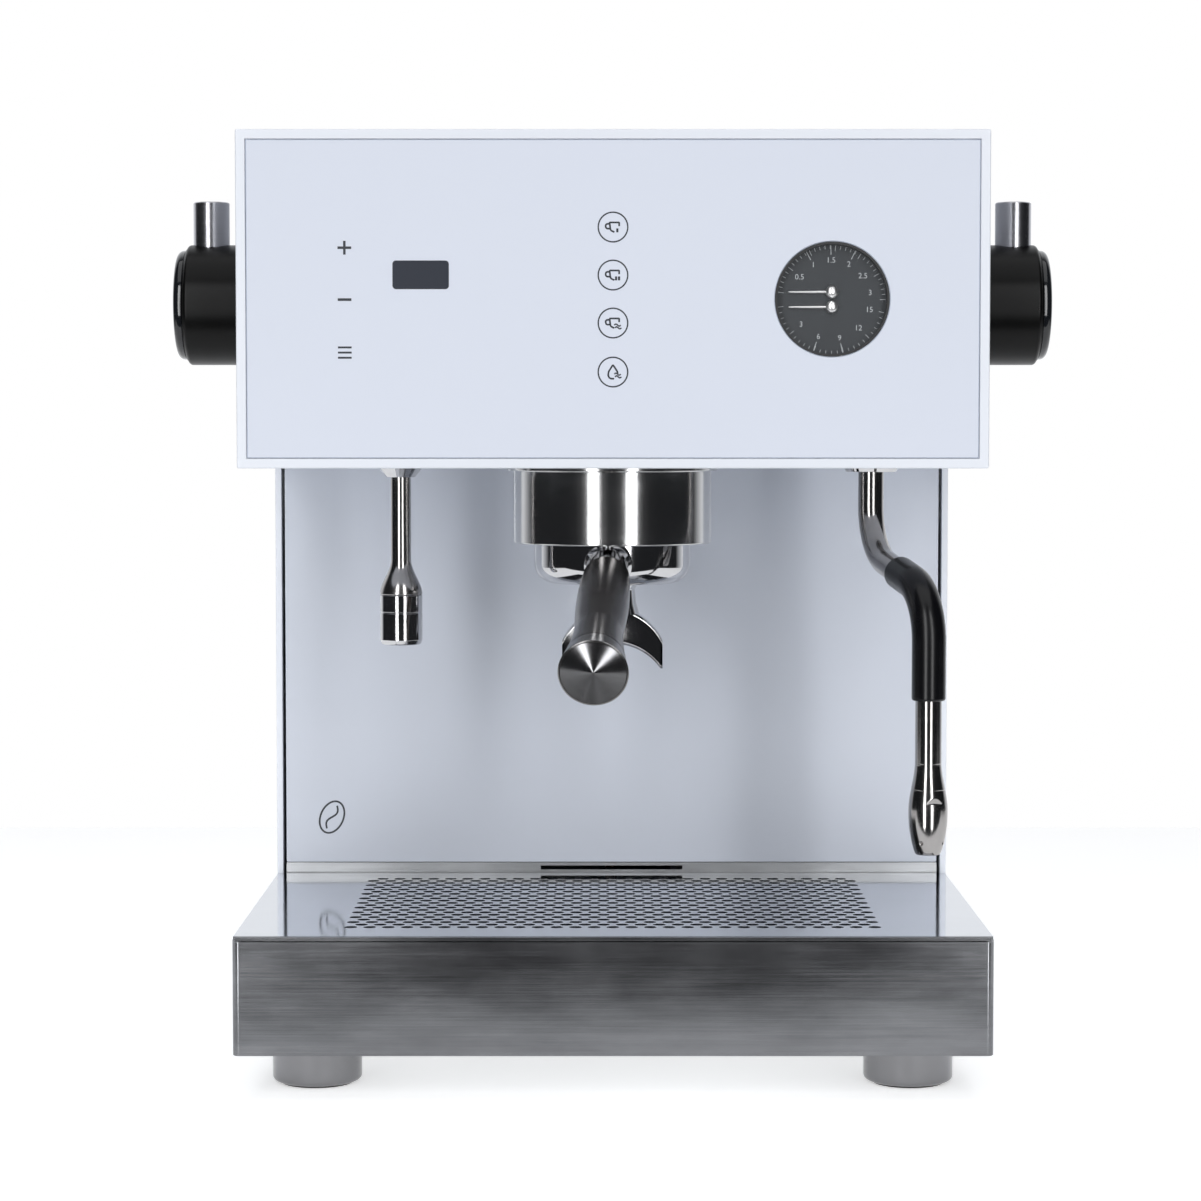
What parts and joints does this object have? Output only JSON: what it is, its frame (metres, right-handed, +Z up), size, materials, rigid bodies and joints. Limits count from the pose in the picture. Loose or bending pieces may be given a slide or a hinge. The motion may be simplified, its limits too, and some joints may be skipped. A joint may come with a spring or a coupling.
{
  "type": "espresso machine",
  "caption": "Countertop espresso machine with glass control panel, side knobs, portafilter, swivelling steam wand, hot-water spout and slide-out drip tray.",
  "frame": {"origin": "on the surface that the feet stand on, in the middle of the whole machine with its handle", "axes": "+X to the machine's right as seen from the front, +Y from front to back, +Z up"},
  "size_m": [0.4012, 0.4746, 0.422],
  "materials": {
    "white_paint": "satin white powder coat",
    "white_glass": "white back-printed glass, glossy",
    "white_gloss": "glossy white enamel",
    "steel_brushed": "brushed stainless steel",
    "steel_polished": "mirror-polished stainless steel",
    "chrome": "polished chrome",
    "steel_turned": "turned stainless steel",
    "galvanised": "plain sheet steel",
    "rubber": "matte black rubber",
    "black_satin": "satin black moulded plastic",
    "black_gloss": "glossy black with a bright edge",
    "board_green": "printed circuit board",
    "dial_black": "matte dark dial",
    "clear_lens": "clear flat lens",
    "needle_bright": "bright polished needle",
    "brass": "plain brass",
    "seat_white": "white PTFE",
    "tank_clear": "clear smoky plastic",
    "copper": "copper tube",
    "grey_plastic": "moulded grey plastic"
  },
  "bodies": {
    "casing": {"base_pan": "steel_brushed", "side_panel_left": "white_paint", "side_panel_right": "white_paint", "rear_panel": "white_paint", "top_cover": "white_paint", "cup_tray": "steel_brushed", "front_frame": "white_paint", "front_glass": "white_glass", "box_floor": "white_paint", "backsplash": "white_gloss", "inner_frame": "galvanised", "feet": "steel_turned", "foot_pads": "rubber", "display_board": "board_green", "gauge_housing": "black_satin", "gauge_dial": "dial_black", "gauge_lens": "clear_lens", "steam_valve": "chrome", "water_valve": "chrome", "group_head": "brass", "group_cover": "steel_polished", "group_gasket": "rubber", "shower_screen": "steel_brushed", "screws": "steel_turned", "coffee_boiler": "steel_brushed", "steam_boiler": "steel_brushed", "pump": "grey_plastic", "control_box": "grey_plastic", "pipes": "copper", "power_inlet": "black_satin"},
    "portafilter": {"portafilter_body": "chrome", "filter_basket": "steel_brushed", "basket_spring": "steel_turned", "portafilter_handle": "steel_turned", "handle_cap": "steel_turned", "twin_spout": "chrome"},
    "upper_needle": {"needle_upper": "needle_bright"},
    "lower_needle": {"needle_lower": "needle_bright"},
    "steam_control": {"steam_knob": "black_satin", "steam_knob_cap": "black_gloss", "steam_knob_peg": "steel_turned", "steam_spindle": "brass"},
    "water_control": {"water_knob": "black_satin", "water_knob_cap": "black_gloss", "water_knob_peg": "steel_turned", "water_spindle": "brass"},
    "steam_swivel": {"steam_ball_seat": "seat_white"},
    "wand": {"steam_wand": "chrome", "steam_grip": "rubber", "steam_tip": "chrome"},
    "water_swivel": {"water_ball_seat": "seat_white"},
    "spout": {"water_spout": "chrome", "water_aerator": "chrome"},
    "tray": {"drip_tray": "steel_brushed", "tray_front": "steel_brushed"},
    "plate": {"drip_grille": "steel_polished"},
    "tank": {"water_tank": "tank_clear"},
    "lid": {"tank_lid": "white_paint"},
    "switch": {"power_switch": "black_satin"}
  },
  "joints": [
    {"name": "tray_slide", "type": "slide", "parent": "casing", "child": "tray", "axis": [0, -1, 0], "range_m": [0, 0.19]},
    {"name": "plate_lift", "type": "slide", "parent": "tray", "child": "plate", "axis": [0, 0, 1], "range_m": [0, 0.025]},
    {"name": "portafilter_lock", "type": "hinge", "parent": "casing", "child": "portafilter", "pos_m": [0, -0.08458, 0.23], "axis": [0, 0, -1], "range_deg": [0, 45]},
    {"name": "steam_turn", "type": "hinge", "parent": "casing", "child": "steam_control", "pos_m": [0.18, -0.08558, 0.348], "axis": [1, 0, 0], "range_deg": [0, 90]},
    {"name": "water_turn", "type": "hinge", "parent": "casing", "child": "water_control", "pos_m": [-0.18, -0.08558, 0.348], "axis": [1, 0, 0], "range_deg": [0, 90]},
    {"name": "wand_swivel", "type": "hinge", "parent": "casing", "child": "steam_swivel", "pos_m": [0.1189, -0.09258, 0.28062], "axis": [0, 0, 1], "range_deg": [-40, 100]},
    {"name": "wand_tilt", "type": "hinge", "parent": "steam_swivel", "child": "wand", "pos_m": [0.1189, -0.09258, 0.28062], "axis": [-0.9617, -0.274, 0], "range_deg": [-8, 8]},
    {"name": "spout_swivel", "type": "hinge", "parent": "casing", "child": "water_swivel", "pos_m": [-0.0973, -0.09258, 0.27858], "axis": [0, 0, 1], "range_deg": [-90, 90]},
    {"name": "spout_tilt", "type": "hinge", "parent": "water_swivel", "child": "spout", "pos_m": [-0.0973, -0.09258, 0.27858], "axis": [-1, 0, 0], "range_deg": [-4, 4]},
    {"name": "upper_needle_turn", "type": "hinge", "parent": "casing", "child": "upper_needle", "pos_m": [0.096, -0.15518, 0.3513], "axis": [0, 1, 0], "range_deg": [0, 180]},
    {"name": "lower_needle_turn", "type": "hinge", "parent": "casing", "child": "lower_needle", "pos_m": [0.096, -0.15518, 0.3447], "axis": [0, -1, 0], "range_deg": [0, 180]},
    {"name": "tank_lift", "type": "slide", "parent": "casing", "child": "tank", "axis": [0, 0, 1], "range_m": [0, 0.21]},
    {"name": "lid_hinge", "type": "hinge", "parent": "tank", "child": "lid", "pos_m": [0, 0.23172, 0.419], "axis": [-1, 0, 0], "range_deg": [0, 100]},
    {"name": "switch_tip", "type": "hinge", "parent": "casing", "child": "switch", "pos_m": [-0.11, 0.23142, 0.081], "axis": [1, 0, 0], "range_deg": [0, 12]}
  ]
}
